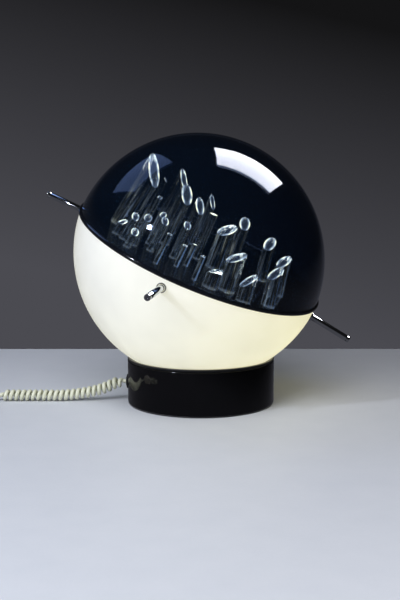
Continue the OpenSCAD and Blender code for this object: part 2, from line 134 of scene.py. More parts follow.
# moulded black rubber: matt, a little dusty
rubber = solidFinish("blackRubber", "#1b1b1b", "#111111", 0.62, 0.08, 0.5, {"IOR": 1.5}, 0.2, 0.06)
# ivory PVC flex: smooth, a little waxy, slightly grubby in the hollows
flex = solidFinish("ivoryFlex", "#d6d6c2", "#c0c1a8", 0.42, 0.07, 1.2, {"IOR": 1.53}, 0.12, 0.05)
# moulded ivory thermoplastic: warm white with a low polish
ivory = solidFinish("ivoryMoulding", "#eee8da", "#ded7c4", 0.3, 0.06, 0.9, {"IOR": 1.5, "Coat Weight": 0.1}, 0.1, 0.04)
# moulded red thermoplastic: strong colour, low polish
red = solidFinish("redRocker", "#a8261e", "#84180f", 0.28, 0.06, 0.6, {"IOR": 1.5}, 0.1, 0.03)
# pressed phenolic: brown-black with the shine of its die
phenolic = solidFinish("blackPhenolic", "#1a1613", "#0f0c0b", 0.22, 0.05, 0.7, {"IOR": 1.6}, 0.1, 0.03)
# glazed porcelain: cream under a glassy coat
glaze = solidFinish("glazedPorcelain", "#f0ece0", "#dcd6c6", 0.18, 0.05, 0.9, {"IOR": 1.5, "Coat Weight": 0.4}, 0.08, 0.03)
# pressed wool felt: dead matt with a faint fibre sheen
feltSheen = {"IOR": 1.45, "Sheen Weight": 0.5, "Sheen Roughness": 0.4}
felt = solidFinish("blackFelt", "#232326", "#131315", 0.92, 0.05, 0.25, feltSheen, 0.7, 0.25)
# turned aluminium: pale grey, soft shine
boss = solidFinish("turnedAluminium", "#bfc1c4", "#9c9ea2", 0.3, 0.08, 0.6, {"Metallic": 1.0}, 0.12, 0.03)
# the acrylic where the dome's edge is rolled: thick enough to look black, with a soft polish
beadCoat = {"IOR": 1.49, "Coat Weight": 0.3, "Coat Roughness": 0.05}
bead = solidFinish("rolledBead", "#0d0f16", "#07080c", 0.14, 0.04, 1.5, beadCoat, 0.05, 0.03)


def glowFinish(name, body, glow, strength, rough, grainMm):
    # a lit white moulding: its own glow under a polished face, with painted light on top: the glow is painted cooler on
    # the left, where the lamp falls, and warmer on the right, in its shade
    material, tree, end, place = startMaterial(name)
    cloud = noiseOf(tree, place.outputs["Object"], 1000 / grainMm, 2.0)
    fine = noiseOf(tree, place.outputs["Object"], 1000 / 2.5, 4.0)   # polish marks 2.5 mm apart
    at = addNode(tree, "ShaderNodeSeparateXYZ", None, {0: place.outputs["Object"]})
    upwards = rangeOf(tree, at.outputs["Z"], strength[0], strength[1], 0.05, 0.2)   # metres above the table
    # painted light: the glow's colour runs from cool on the left, where the lamp falls, to warm on the right
    paintedSideTint = rangeOf(tree, at.outputs["X"], 0.0, 1.0, -0.13, 0.13)
    mottle = addNode(tree, "ShaderNodeMath", {"operation": "MULTIPLY"}, {
        0: upwards, 1: rangeOf(tree, cloud.outputs["Fac"], 0.94, 1.05, 0.3, 0.7)})
    shader = addNode(tree, "ShaderNodeBsdfPrincipled", {"IOR": 1.49}, {
        "Base Color": blendColours(tree, cloud.outputs["Fac"], paint(body[0]), paint(body[1])),
        "Roughness": rangeOf(tree, fine.outputs["Fac"], rough - 0.03, rough + 0.04, 0.3, 0.7),
        "Emission Color": blendColours(tree, paintedSideTint, paint(glow[0]), paint(glow[1])),
        "Emission Strength": mottle.outputs[0], "Normal": reliefOf(tree, fine, 0.04, 0.03).outputs[0]})
    tree.links.new(shader.outputs[0], end.inputs["Surface"])
    return material


# opal cast acrylic, lit from inside: a cream glow, a shade brighter low down, with painted light that makes it cooler
# on the left and warmer on the right
opal = glowFinish("opalAcrylic", ("#a2a3a6", "#a9aaac"), ("#b9b8a8", "#dcd6ac"), (1.14, 0.93), 0.14, 60)
# the same wall seen from the bulb's side, with the bulb's light on it painted in as a much brighter glow
opalInside = glowFinish("opalAcrylicInside", ("#f7f3e4", "#fbf8ee"), ("#fff3cf", "#fff8e2"), (9.0, 6.0), 0.3, 60)
# inside-frosted glass bulb, lit: white with no visible filament
bulbGlass = glowFinish("frostedBulb", ("#fff8e6", "#fffaf0"), ("#fff0c4", "#fff6dc"), (30.0, 30.0), 0.4, 12)


def smokeFinish():
    # smoked blue acrylic, polished: lets a little navy light through and mirrors the lamps
    material, tree, end, place = startMaterial("smokedAcrylic")
    cloud = noiseOf(tree, place.outputs["Object"], 9.0, 2.0)   # clouds 110 mm across
    wipe = noiseOf(tree, place.outputs["Object"], 260.0, 5.0, {"Distortion": 1.2})   # wipe marks 3.8 mm apart
    tint = blendColours(tree, cloud.outputs["Fac"], paint("#9aa2ae"), paint("#a4acb9"))
    clearPart = addNode(tree, "ShaderNodeBsdfTransparent", None, {"Color": tint})
    haze = addNode(tree, "ShaderNodeBsdfDiffuse", {"Color": paint("#03070e")})   # the dye scatters a trace of blue
    through = addNode(tree, "ShaderNodeAddShader", None, {0: clearPart.outputs[0], 1: haze.outputs[0]})
    shine = addNode(tree, "ShaderNodeBsdfGlossy", {"Color": paint("#f2f5fb")}, {
        "Roughness": rangeOf(tree, wipe.outputs["Fac"], 0.02, 0.07, 0.35, 0.75),
        "Normal": reliefOf(tree, wipe, 0.02, 0.02).outputs[0]})
    # the same gloss on both faces of the thin wall: 4% head on, a full mirror at the edge
    slant = addNode(tree, "ShaderNodeLayerWeight", {"Blend": 0.5})
    steep = addNode(tree, "ShaderNodeMath", {"operation": "POWER", 1: 5.0}, {0: slant.outputs["Facing"]})
    mixed = addNode(tree, "ShaderNodeMixShader", None, {
        0: rangeOf(tree, steep.outputs[0], 0.04, 1.0), 1: through.outputs[0], 2: shine.outputs[0]})
    tree.links.new(mixed.outputs[0], end.inputs["Surface"])
    return material


rodLight = {"threads": 2.1, "foot": 0.35, "middle": 0.26, "crescent": 11.0}   # strengths of the painted light on the rods: threads, lit foot, the cut's middle and its crescents
rodGlowMarks = {"threadMm": 1.1, "hueMm": 4.0, "raggedMm": 9.0, "long": 0.016}   # long: drawn out along the rod


def rodFinish():
    # cast acrylic rod: clear and polished; painted light: emission threads and a lit foot stand in for the bowl's light
    # carried up inside it and for reflections along its wall
    material, tree, end, place = startMaterial("castAcrylicRod")
    split = addNode(tree, "ShaderNodeSeparateXYZ", None, {0: place.outputs["UV"]})
    lines = addNode(tree, "ShaderNodeMapping", {"Scale": (1.0, rodGlowMarks["long"], 1.0)}, {"Vector": place.outputs["UV"]})
    thread = noiseOf(tree, lines.outputs[0], 1000 / rodGlowMarks["threadMm"], 1.5, {"Roughness": 0.5})
    hue = noiseOf(tree, lines.outputs[0], 1000 / rodGlowMarks["hueMm"], 1.0)
    dust = noiseOf(tree, place.outputs["Object"], 700.0, 5.0)   # dust 1.4 mm apart
    # painted light and painted reflection: bright blue-to-cream threads along the wall
    threads = rangeOf(tree, thread.outputs["Fac"], 0.0, rodLight["threads"], 0.57, 0.75)
    fade = rangeOf(tree, split.outputs["Y"], 1.0, 0.25, 0.0, 0.05)   # the threads weaken over the first 50 mm
    foot = rangeOf(tree, split.outputs["Y"], rodLight["foot"], 0.0, 0.0, 0.0022)
    lit = addNode(tree, "ShaderNodeMath", {"operation": "MULTIPLY_ADD"}, {0: threads, 1: fade, 2: foot})
    tone = rangeOf(tree, hue.outputs["Fac"], 0.0, 1.0, 0.4, 0.6)
    shader = addNode(tree, "ShaderNodeBsdfPrincipled", {"IOR": 1.49, "Transmission Weight": 1.0}, {
        "Base Color": blendColours(tree, dust.outputs["Fac"], paint("#eef4f4"), paint("#f8fbfb")),
        "Roughness": rangeOf(tree, dust.outputs["Fac"], 0.0, 0.03, 0.45, 0.75),
        "Emission Color": blendColours(tree, tone, paint("#a9c3de"), paint("#fff0c2")),
        "Emission Strength": lit.outputs[0]})
    tree.links.new(shader.outputs[0], end.inputs["Surface"])
    return material


def cutFinish():
    # the polished slant cut of a rod: painted light: an emission cream crescent at each side and a blue-grey middle
    # stand in for the light leaving it
    material, tree, end, place = startMaterial("polishedRodEnd")
    split = addNode(tree, "ShaderNodeSeparateXYZ", None, {0: place.outputs["UV"]})
    away = addNode(tree, "ShaderNodeVectorMath", {"operation": "LENGTH"}, {0: place.outputs["UV"]})
    ragged = noiseOf(tree, place.outputs["Object"], 1000 / rodGlowMarks["raggedMm"], 3.0)
    sides = addNode(tree, "ShaderNodeMath", {"operation": "ABSOLUTE"}, {0: split.outputs["Y"]})
    edge = rangeOf(tree, away.outputs["Value"], 0.0, 1.0, 0.55, 0.88)
    width = rangeOf(tree, sides.outputs[0], 0.04, 1.0, 0.3, 0.75)
    uneven = rangeOf(tree, ragged.outputs["Fac"], 0.25, 1.2, 0.38, 0.6)
    # painted light: the crescent mask sets the cut's glow
    crescent = addNode(tree, "ShaderNodeMath", {"operation": "MULTIPLY"}, {0: edge, 1: width})
    broken = addNode(tree, "ShaderNodeMath", {"operation": "MULTIPLY"}, {0: crescent.outputs[0], 1: uneven})
    shader = addNode(tree, "ShaderNodeBsdfPrincipled", {"IOR": 1.49, "Transmission Weight": 1.0, "Roughness": 0.03}, {
        "Base Color": blendColours(tree, ragged.outputs["Fac"], paint("#e6eef2"), paint("#f6fafa")),
        "Emission Color": blendColours(tree, broken.outputs[0], paint("#b9cbe0"), paint("#ffeeb6")),
        "Emission Strength": rangeOf(tree, broken.outputs[0], rodLight["middle"], rodLight["crescent"])})
    tree.links.new(shader.outputs[0], end.inputs["Surface"])
    return material


smoke = smokeFinish()
clear = rodFinish()
cutEnd = cutFinish()
# black acrylic sheet: as glossy as the ring, a shade bluer
plateBlack = solidFinish("blackAcrylicPlate", "#0b0b10", "#060609", 0.06, 0.03, 2.0, {"IOR": 1.49}, 0.03, 0.02)
print("materials made")


# ---- shaping ----
ball = {"centre": (0, 0, 191.661), "radius": 160.029, "lean": 24, "turn": -24.3, "spin": -79}   # as the joints have it
upright = Matrix.Scale(mm, 4)
inBall = (upright @ Matrix.Translation(ball["centre"]) @ Matrix.Rotation(radians(ball["turn"]), 4, "Z")
          @ Matrix.Rotation(radians(ball["lean"]), 4, "Y") @ Matrix.Rotation(radians(ball["spin"]), 4, "Z"))
onSide = Matrix.Rotation(radians(90), 4, "Y")   # turns a spun shape to lie along X
steps = {"ball": 192, "ring": 160, "rod": 64, "small": 48}   # sides of a full turn


def bevelEdges(bm, edges, offset, segments):
    bmesh.ops.bevel(bm, geom=edges, offset=offset, affect="EDGES", segments=segments, profile=0.5, material=-1, clamp_overlap=True)


def bevelLoose(bm, edges, offset, segments):
    bmesh.ops.bevel(bm, geom=edges, offset=offset, affect="EDGES", segments=segments, profile=0.5, material=-1)


def everything(bm):
    return bm.verts[:] + bm.edges[:] + bm.faces[:]


def sharpEdges(bm, angle):
    return [e for e in bm.edges if len(e.link_faces) == 2 and e.calc_face_angle(0) > radians(angle)]


def pushOut(bm, faces, by):
    # extrudes faces and moves the new ones
    grown = bmesh.ops.extrude_face_region(bm, geom=faces)
    bmesh.ops.translate(bm, vec=by, verts=[v for v in grown["geom"] if isinstance(v, bmesh.types.BMVert)])


def makePiece(name, bm, materials, body, place=upright, stands=(), crease=35, bevel=0.0):
    # a bmesh in millimetres becomes a finished piece in metres at its place
    bmesh.ops.remove_doubles(bm, verts=bm.verts, dist=1e-4)
    bmesh.ops.recalc_face_normals(bm, faces=bm.faces)
    if bevel:
        bevelEdges(bm, sharpEdges(bm, crease), bevel, 3)
    bmesh.ops.transform(bm, matrix=place, verts=bm.verts)
    mesh = bpy.data.meshes.new(name)
    bm.to_mesh(mesh)
    bm.free()
    mesh.shade_smooth()
    mesh.set_sharp_from_angle(angle=radians(crease + 10))
    for material in materials:
        mesh.materials.append(material)
    piece = bpy.data.objects.new(name, mesh)
    scene.collection.objects.link(piece)
    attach(piece, body)
    if stands:
        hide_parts(*stands)
    return piece


def spinProfile(points, sides, closed=True, bm=None, place=None):
    # a profile of (radius, height) pairs turned a full circle about Z, and moved to its place in a shared bmesh
    bm = bm or bmesh.new()
    verts = [bm.verts.new((r, 0, z)) for r, z in points]
    edges = [bm.edges.new((verts[i], verts[i + 1])) for i in range(len(verts) - 1)]
    if closed:
        edges.append(bm.edges.new((verts[-1], verts[0])))
    bmesh.ops.spin(bm, geom=verts + edges, cent=(0, 0, 0), axis=(0, 0, 1), angle=2 * pi, steps=sides, use_merge=True)
    if place is not None:
        group = set(verts)
        stack = list(verts)
        while stack:
            for edge in stack.pop().link_edges:
                for v in edge.verts:
                    if v not in group:
                        group.add(v)
                        stack.append(v)
        bmesh.ops.transform(bm, matrix=place, verts=list(group))
    return bm


def arc(radius, height, low, high, count):
    # points of a circle about (0, height), between two angles counted from straight down
    angles = [radians(low + (high - low) * i / count) for i in range(count + 1)]
    return [(radius * sin(a), height - radius * cos(a)) for a in angles]


def roundCorner(x, z, r, start, count=4):
    # a quarter circle about (x, z)
    angles = [radians(start + 90 * i / count) for i in range(count + 1)]
    return [(x + r * cos(a), z + r * sin(a)) for a in angles]


# ---- cord ----
def smoothRoute(points, steps):
    route = []
    for i in range(len(points) - 1):
        a, b, c, d = (Vector(points[j]) for j in (max(i - 1, 0), i, i + 1, min(i + 2, len(points) - 1)))
        for s in range(steps):
            t = s / steps
            route.append(0.5 * (2 * b + (c - a) * t + (2 * a - 5 * b + 4 * c - d) * t * t + (3 * b - a - 3 * c + d) * t ** 3))
    return route + [Vector(points[-1])]


def tubeCurve(name, points, radius, material, sides=3):
    curve = bpy.data.curves.new(name, "CURVE")
    curve.dimensions = "3D"
    curve.bevel_depth = radius * mm
    curve.bevel_resolution = sides
    curve.use_fill_caps = True
    spline = curve.splines.new("POLY")
    spline.points.add(len(points) - 1)
    for point, place in zip(spline.points, points):
        point.co = (*(Vector(place) * mm), 1)
    curve.materials.append(material)
    piece = bpy.data.objects.new(name, curve)
    scene.collection.objects.link(piece)
    return piece


# leadIn, leadOut: how far the curl takes to open out; opening: how much wider the loops lie there
cord = {"thick": 5.0, "curlRadius": 5.0, "pitch": 7.1, "leadIn": 8.0, "leadOut": 5.0, "opening": 16.0, "straight": 2.5,
        "curl": [(-96, 0, 26), (-102, 0, 26), (-111, 0, 23), (-121, 0, 18.5), (-132, 0, 14.5), (-145, 0, 11.5),
                 (-161, 0, 9), (-180, 0, 7.5), (-205, 0, 7.5), (-230, 0, 7.5), (-258, 0, 7.5)],
        "toSwitch": [(-258, 0, 7.5), (-266, 0, 4.5), (-275, -3, 2.8), (-282, -9, 2.8), (-286, -16, 4.5),
                     (-288, -25, 7.5), (-288, -33, 9)],
        "toCoil": [(-288, -91, 9), (-288, -98, 7.5), (-288, -106, 4), (-288, -113, 2.6), (-288, -120, 2.5)],
        "toPlug": [(-360, -119, 7.5), (-360, -108, 6.6), (-360, -99, 6.5), (-360, -91, 6.85), (-360, -80, 6.85)],
        "coilAt": (-324, -132), "coilTurns": 5.5, "outer": 36.0, "inner": 21.0, "low": 2.5, "high": 7.5}


def curlPoints(route):
    # a helix wound round a route, fading in and out of it at its ends
    dense = smoothRoute(route, 24)
    along = [0.0]
    for a, b in zip(dense, dense[1:]):
        along.append(along[-1] + (b - a).length)
    whole, made, k, turn = along[-1], [], 0, 0.0
    total = int(whole / cord["pitch"] * 14)   # 14 points to a loop
    for i in range(total + 1):
        s = whole * i / total
        while k < len(dense) - 2 and along[k + 1] < s:
            k += 1
        t = (s - along[k]) / (along[k + 1] - along[k])
        heading = (dense[k + 1] - dense[k]).normalized()
        ease = min(1.0, max(0.0, s - cord["straight"]) / cord["leadIn"], (whole - s) / cord["leadOut"])
        grown = ease * ease * (3 - 2 * ease)
        swing = cord["curlRadius"] * grown
        turn += 2 * pi * whole / total / (cord["pitch"] + cord["opening"] * (1 - grown))
        side = Vector((0, 1, 0))
        made.append(dense[k].lerp(dense[k + 1], t) + swing * (cos(turn) * side - sin(turn) * heading.cross(side)))
    return made


def coilPoints():
    # two flat layers: in along the floor, up at the middle, and out again on top
    made, count = [], 26
    cx, cy = cord["coilAt"]
    inward = (cord["outer"] - cord["inner"]) / cord["thick"]
    outward = cord["coilTurns"] - inward
    for i in range(int(cord["coilTurns"] * count) + 1):
        turn = i / count
        if turn < inward:
            r = cord["outer"] - cord["thick"] * turn
        else:
            r = cord["inner"] + (cord["outer"] - cord["inner"]) * (turn - inward) / outward
        rise = min(1.0, max(0.0, (turn - inward + 0.22) / 0.44))
        z = cord["low"] + (cord["high"] - cord["low"]) * rise * rise * (3 - 2 * rise)
        a = -2 * pi * turn
        made.append(Vector((cx + r * cos(a), cy + r * sin(a), z)))
    return made


level = cord["toSwitch"][-1][2]   # the cord runs straight through the switch at this height
throughSwitch = [Vector((cord["toSwitch"][-1][0], y, level)) for y in range(-38, -90, -6)]
coilStart = (cord["coilAt"][0] + cord["outer"], cord["coilAt"][1], cord["low"])
coilEnd = (cord["coilAt"][0] - cord["outer"], cord["coilAt"][1], cord["high"])
cordLine = curlPoints(cord["curl"]) + smoothRoute(cord["toSwitch"], 6)[1:] + throughSwitch
cordLine += smoothRoute(cord["toCoil"] + [coilStart], 5)[:-1] + coilPoints()
cordLine += smoothRoute([coilEnd] + cord["toPlug"], 5)[1:]
mainCord = tubeCurve("mainCord", cordLine, cord["thick"] / 2, flex, 4)
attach(mainCord, "base")
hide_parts("curly_cord", "straight_cord", "cord_coil")

# bendFrom: a point under the table
hidden = {"inner": [(-96, 0, 26), (-90, 0, 26), (-85, 0, 25.4), (-80.5, 0, 22.5), (-77.6, 0, 17.5), (-75, 0, 11),
                    (-71, 0, 5.6), (-64, 0, 3.0), (-54, 0, 2.6), (-42, 0, 2.6), (-30, 0, 2.6), (-18, 0, 2.6),
                    (-7.8, 0, 2.6), (-3.9, 0, 3.65), (-1.05, 0, 6.5), (0, 0, 10.4)],
          "riser": [(0, 0, 12.6), (-1.0, 0.5, 16.6), (-3.7, 1.7, 19.5), (-7.3, 3.4, 20.6), (-16, 7.3, 20.7),
                    (-27, 12.4, 19.0), (-38, 17.3, 17.0), (-48, 21.8, 16.0), (-56.5, 25.6, 15.8), (-62.5, 28.3, 16.8),
                    (-66.4, 30.0, 19.8), (-67.3, 30.4, 24.2)],
          "bendFrom": (-35.7, 16.1, -13.0), "bushRoot": 18, "bushTip": 12.3}   # the last two: below the ball's pole
pole = Vector((inBall @ Vector((0, 0, -1)) - inBall @ Vector((0, 0, 0)))) / mm   # outwards at the bottom pole
middle = Vector(ball["centre"])


def belowBall(distance):
    return middle + pole * (ball["radius"] + distance)


def meshTube(name, points, radius, material):
    tube = tubeCurve(name, points, radius, material, 3)
    mesh = bpy.data.meshes.new_from_object(tube.evaluated_get(bpy.context.evaluated_depsgraph_get()))
    curve = tube.data
    bpy.data.objects.remove(tube)
    bpy.data.curves.remove(curve)
    piece = bpy.data.objects.new(name, mesh)
    mesh.name = name
    mesh.shade_smooth()
    scene.collection.objects.link(piece)
    return piece


innerLine = smoothRoute(hidden["inner"], 5)
innerCord = meshTube("innerCord", innerLine, cord["thick"] / 2, flex)
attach(innerCord, "base")
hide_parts("inner_cord")
riserLine = smoothRoute(hidden["riser"] + [tuple(belowBall(hidden[end])) for end in ("bushRoot", "bushTip")], 6)
riserCord = meshTube("riserCord", riserLine, cord["thick"] / 2, flex)
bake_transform(riserCord)
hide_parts("riser_cord")
print("cords laid")


# ---- base ----
base = {"outer": 93.5, "inner": 89.5, "foot": 1.5, "top": 55.7, "round": 1.2, "innerRound": 0.6}

outerRound, innerRound = base["round"], base["innerRound"]
ringShape = (roundCorner(base["outer"] - outerRound, base["top"] - outerRound, outerRound, 0)
             + roundCorner(base["inner"] + innerRound, base["top"] - innerRound, innerRound, 90)
             + roundCorner(base["inner"] + innerRound, base["foot"] + innerRound, innerRound, 180)
             + roundCorner(base["outer"] - outerRound, base["foot"] + outerRound, outerRound, 270))
baseRing = makePiece("baseRing", spinProfile(ringShape, steps["ring"]), [gloss], "base",
                     stands=["base_ring"], crease=50)

seat = {"outer": 93.5, "skirt": 86.2, "skirtOut": 89.2, "low": 50.0, "step": 56.0, "top": 59.0, "round": 0.8,
        "soft": 0.5, "stepSoft": 0.4, "ball": 160.33, "heights": (59.0, 58.2, 57.4, 56.6, 55.9)}   # heights: where it meets the ball


def seatEdge(z):
    # the seat follows the ball, a little clear of it
    return sqrt(seat["ball"] ** 2 - (ball["centre"][2] - z) ** 2)


soft = seat["soft"]
seatShape = (roundCorner(seat["outer"] - seat["round"], seat["top"] - seat["round"], seat["round"], 0)
             + [(max(seatEdge(z), seat["skirt"]), z) for z in seat["heights"]]
             + [(seat["skirt"], seat["low"] + soft), (seat["skirt"] + soft, seat["low"]),
                (seat["skirtOut"] - soft, seat["low"]), (seat["skirtOut"], seat["low"] + soft),
                (seat["skirtOut"], seat["step"])]
             + [(seat["outer"] - seat["stepSoft"], seat["step"]), (seat["outer"], seat["step"] + seat["stepSoft"])])
seatRing = makePiece("seatRing", spinProfile(seatShape, steps["ring"]), [blackMoulding], "turn",
                     stands=["seat_ring"], crease=50)

gland = {"hole": 2.6, "neck": 6.5, "flange": 9.0, "front": 96.0, "wall": 93.5, "inside": 89.5, "back": 85.5,
         "innerFace": 88.0, "outerFace": 95.0, "soft": 0.6, "exit": 26}
innerFace, outerFace, soft = gland["innerFace"], gland["outerFace"], gland["soft"]
glandShape = [(gland["hole"], gland["back"]), (gland["neck"] - 1.2, gland["back"]), (gland["neck"], gland["back"] + 1.2),
              (gland["neck"], innerFace), (gland["flange"] - soft, innerFace), (gland["flange"], innerFace + soft),
              (gland["flange"], gland["inside"] - 0.3), (gland["neck"], gland["inside"] - 0.1),
              (gland["neck"], gland["wall"] + 0.05), (gland["flange"], gland["wall"] + 0.25),
              (gland["flange"], outerFace - soft), (gland["flange"] - soft, outerFace), (gland["neck"], outerFace),
              (gland["neck"] - 1.0, gland["front"]), (gland["hole"] + 0.5, gland["front"]),
              (gland["hole"], gland["front"] - 0.5)]
outwards = upright @ Matrix.Translation((0, 0, gland["exit"])) @ Matrix.Rotation(radians(-90), 4, "Y")   # height runs towards -X
makePiece("cordGrommet", spinProfile(glandShape, steps["small"]), [rubber], "base", outwards,
          ["cord_grommet"], crease=40)
print("base made")

# ---- ball ----
bowl = {"wall": 4.0, "rim": 88.915, "pole": 1.82, "bevel": 0.4}   # rim, pole: angles from straight down
bowlInner = ball["radius"] - bowl["wall"]
outside = arc(ball["radius"], 0, bowl["pole"], bowl["rim"], 72)
inside = arc(bowlInner, 0, bowl["pole"] * ball["radius"] / bowlInner, bowl["rim"] - 0.03, 72)
opalBowl = makePiece("opalBowl", spinProfile(outside + inside[::-1], steps["ball"]), [opal, opalInside], "ball", inBall,
                     ["opal_bowl"], crease=40, bevel=bowl["bevel"])
centre = Vector(ball["centre"]) * mm
# the inner faces take the copy with the bulb's light painted in
for face in opalBowl.data.polygons:
    if (face.center - centre).length < (bowlInner + 0.5) * mm:
        face.material_index = 1

dome = {"radius": 160.21, "height": -11.24, "wall": 3.0, "edge": 93.045, "pole": 179.85}
domeOut = arc(dome["radius"], dome["height"], dome["edge"], dome["pole"], 72)
domeIn = arc(dome["radius"] - dome["wall"], dome["height"], dome["edge"] + 0.02, dome["pole"], 72)
makePiece("smokedDome", spinProfile(domeOut + domeIn[::-1], steps["ball"]), [smoke], "dome", inBall,
          ["smoked_dome"], crease=50)

rim = {"at": (159.2, -1.55), "thick": 3.0, "bowlEdge": 160.3, "low": -2.73,
       "lip": (153.0, 155.8), "lipLow": -3.66, "lipTop": -1.9, "lipSoft": 0.3}


def beadShape():
    # a rolled edge: round outside, square where it sits on the bowl's edge, with a lip that shuts the light in
    x, z = rim["at"]
    shape = [(x + rim["thick"] * cos(radians(a)), z + rim["thick"] * sin(radians(a))) for a in range(-68, 130, 9)]
    inner, outer = rim["lip"]
    return shape + [(inner + rim["lipSoft"], rim["lipTop"]), (inner, rim["lipTop"] - rim["lipSoft"]),
                    (inner, rim["lipLow"]), (outer, rim["lipLow"]), (outer, rim["low"]), (rim["bowlEdge"], rim["low"])]


makePiece("domeBead", spinProfile(beadShape(), steps["ball"]), [bead], "dome", inBall, crease=60)
print("ball made")

# ---- handle rods ----
# groove: how far in from the end it starts and stops, and its depth; dimple: the shallow hollow in the end
handle = {"thick": 8.0, "reach": 215.0, "root": 159.318, "height": -15.03, "rightBend": 7.0, "chamfer": 0.7,
          "stud": 2.5, "studFrom": 142.3, "groove": (4.6, 4.3, 4.0, 3.7), "grooveDeep": 0.25,
          "dimple": ((1.3, 0), (0.9, 0.5), (0, 0.8))}


def handleRod(name, turn, bend, node):
    r, chamfer, out = handle["thick"] / 2, handle["chamfer"], handle["reach"] - handle["root"]
    first, second, third, fourth = (out - inset for inset in handle["groove"])
    neck = r - handle["grooveDeep"]
    shape = [(0, 0), (r, 0), (r, first), (neck, second), (neck, third), (r, fourth), (r, out - chamfer),
             (r - 0.2, out - 0.2), (r - chamfer, out)] + [(x, out - deep) for x, deep in handle["dimple"]]
    bm = spinProfile(shape, steps["rod"], False)
    root = Matrix.Translation((handle["root"], 0, handle["height"]))
    bmesh.ops.transform(bm, matrix=root @ Matrix.Rotation(radians(bend), 4, "Y") @ onSide, verts=bm.verts)
    studLong = handle["root"] - handle["studFrom"]
    studAt = Matrix.Translation((handle["studFrom"] + studLong / 2, 0, handle["height"]))
    bmesh.ops.create_cone(bm, cap_ends=True, segments=32, radius1=handle["stud"], radius2=handle["stud"],
                          depth=studLong, matrix=studAt @ onSide)
    return makePiece(name, bm, [chrome], "ball", inBall @ Matrix.Rotation(radians(turn), 4, "Z"), [node], crease=30)


handleRod("frontHandleRod", 0, 0, "front_handle_rod")
handleRod("rightHandleRod", 90, handle["rightBend"], "right_handle_rod")
handleRod("backHandleRod", 180, 0, "back_handle_rod")
handleRod("leftHandleRod", 270, 0, "left_handle_rod")

collar = {"inner": 4.75, "outer": 6.0, "from": 159.1, "to": 161.8}
collars = bmesh.new()
for turn in range(0, 360, 90):
    a, b, o, i = collar["from"], collar["to"], collar["outer"], collar["inner"]
    shape = [(i, a), (o, a), (o, b - 0.9), (o - 0.3, b - 0.3), (o - 0.7, b), (i + 0.2, b), (i, b - 0.2)]
    lie = Matrix.Rotation(radians(turn), 4, "Z") @ Matrix.Translation((0, 0, handle["height"])) @ onSide
    spinProfile(shape, steps["small"], True, collars, lie)
makePiece("rodCollars", collars, [chrome], "ball", inBall, ["rod_collars"], crease=35)
print("handles made")

# ---- light rods ----
# focus: the rods lean in towards a point this far above the plate
tray = {"top": -3.729, "thick": 4.0, "foot": 2.0, "focus": 600.0, "edge": 0.35}
# front, right, thickness, height, slant of the top, way that the top faces
rods = [(23, -104, 28, 80, 50, 75), (0, -87, 6, 71, 35, 90), (44, -73, 6, 56, 30, 0), (-17, -67, 18, 78, 50, 80),
        (20, -46, 18, 68, 50, 50), (6, -25, 15, 59, 50, 55), (-34, -18, 12, 63, 55, 75), (22, 0, 10, 60, 0, 0),
        (27, 26, 22, 50, 35, -40), (-11, 40, 14, 59, 45, 20), (-16, 81, 15, 48, 45, -10), (16, 110, 17, 42, 40, -35),
        (96, 60, 22, 40, 35, -45), (80, 111, 17, 39, 45, -40), (109, 85, 18, 25, 45, -50), (114, 43, 18, 19, 30, -120),
        (65, -19, 10, 43, 40, 30), (80, -45, 10, 40, 40, 30), (54, -56, 8, 40, 40, 0), (83, -81, 10, 31, 40, 25),
        (75, -93, 10, 17, 40, -40), (88, -65, 10, 37, 40, 10), (107, -67, 10, 20, 40, 20), (120, -25, 6, 38, 20, 0),
        (73, 1, 6, 28, 0, 0), (94, -6, 6, 27, 20, 0), (113, 23, 6, 29, 20, 0)]


def lightRod(number, front, right, thick, high, slant, facing):
    r = thick / 2
    top = high + r * tan(radians(slant)) + 1
    under = tray["thick"] + 8   # made too long at both ends, then cut
    bm = bmesh.new()
    bmesh.ops.create_cone(bm, cap_ends=True, segments=max(32, int(thick * 3) // 4 * 4), radius1=r, radius2=r,
                          depth=top + under, matrix=Matrix.Translation((0, 0, (top - under) / 2)))
    tilt = Matrix.Rotation(radians(facing), 4, "Z") @ Matrix.Rotation(radians(slant), 4, "Y")
    bmesh.ops.bisect_plane(bm, geom=everything(bm), plane_co=(0, 0, high), plane_no=tilt @ Vector((0, 0, 1)), clear_outer=True)
    away = sqrt(front * front + right * right)
    spin = atan2(right, front)
    lean = (Matrix.Translation((front, right, tray["top"])) @ Matrix.Rotation(spin, 4, "Z")
            @ Matrix.Rotation(-atan2(away, tray["focus"]), 4, "Y") @ Matrix.Rotation(-spin, 4, "Z"))
    foot = tray["top"] - tray["thick"] - tray["foot"]
    down = lean.inverted().to_3x3() @ Vector((0, 0, -1))
    footAt = lean.inverted() @ Vector((front, right, foot))
    bmesh.ops.bisect_plane(bm, geom=everything(bm), plane_co=footAt, plane_no=down, clear_outer=True)
    bmesh.ops.holes_fill(bm, edges=[e for e in bm.edges if len(e.link_faces) == 1])
    bmesh.ops.recalc_face_normals(bm, faces=bm.faces)
    uv = bm.loops.layers.uv.new("rodMap")
    upward = tilt.to_3x3() @ Vector((0, 0, 1))
    unturn = Matrix.Rotation(radians(-facing), 3, "Z")
    for face in bm.faces:
        cut = face.normal.dot(upward) > 0.999
        face.material_index = 1 if cut else 0
        angles = [atan2(loop.vert.co.y, loop.vert.co.x) for loop in face.loops]
        for loop, angle in zip(face.loops, angles):
            if cut and slant:
                loop[uv].uv = (unturn @ (loop.vert.co / r)).xy   # across the cut, its slope along U
            elif cut:
                loop[uv].uv = (0.0, 0.95)   # a square end is lit all over
            else:
                angle += 2 * pi if angle - min(angles) < 1e-6 and max(angles) - min(angles) > pi else 0
                loop[uv].uv = (r * angle * mm, loop.vert.co.z * mm)
    bevelEdges(bm, sharpEdges(bm, 30), tray["edge"], 2)
    makePiece(f"lightRod{number:02d}", bm, [clear, cutEnd], "tray", inBall @ lean,
              [f"light_rod_{number:02d}"], crease=25)


for number, row in enumerate(rods, 1):
    lightRod(number, *row)
print("light rods made")

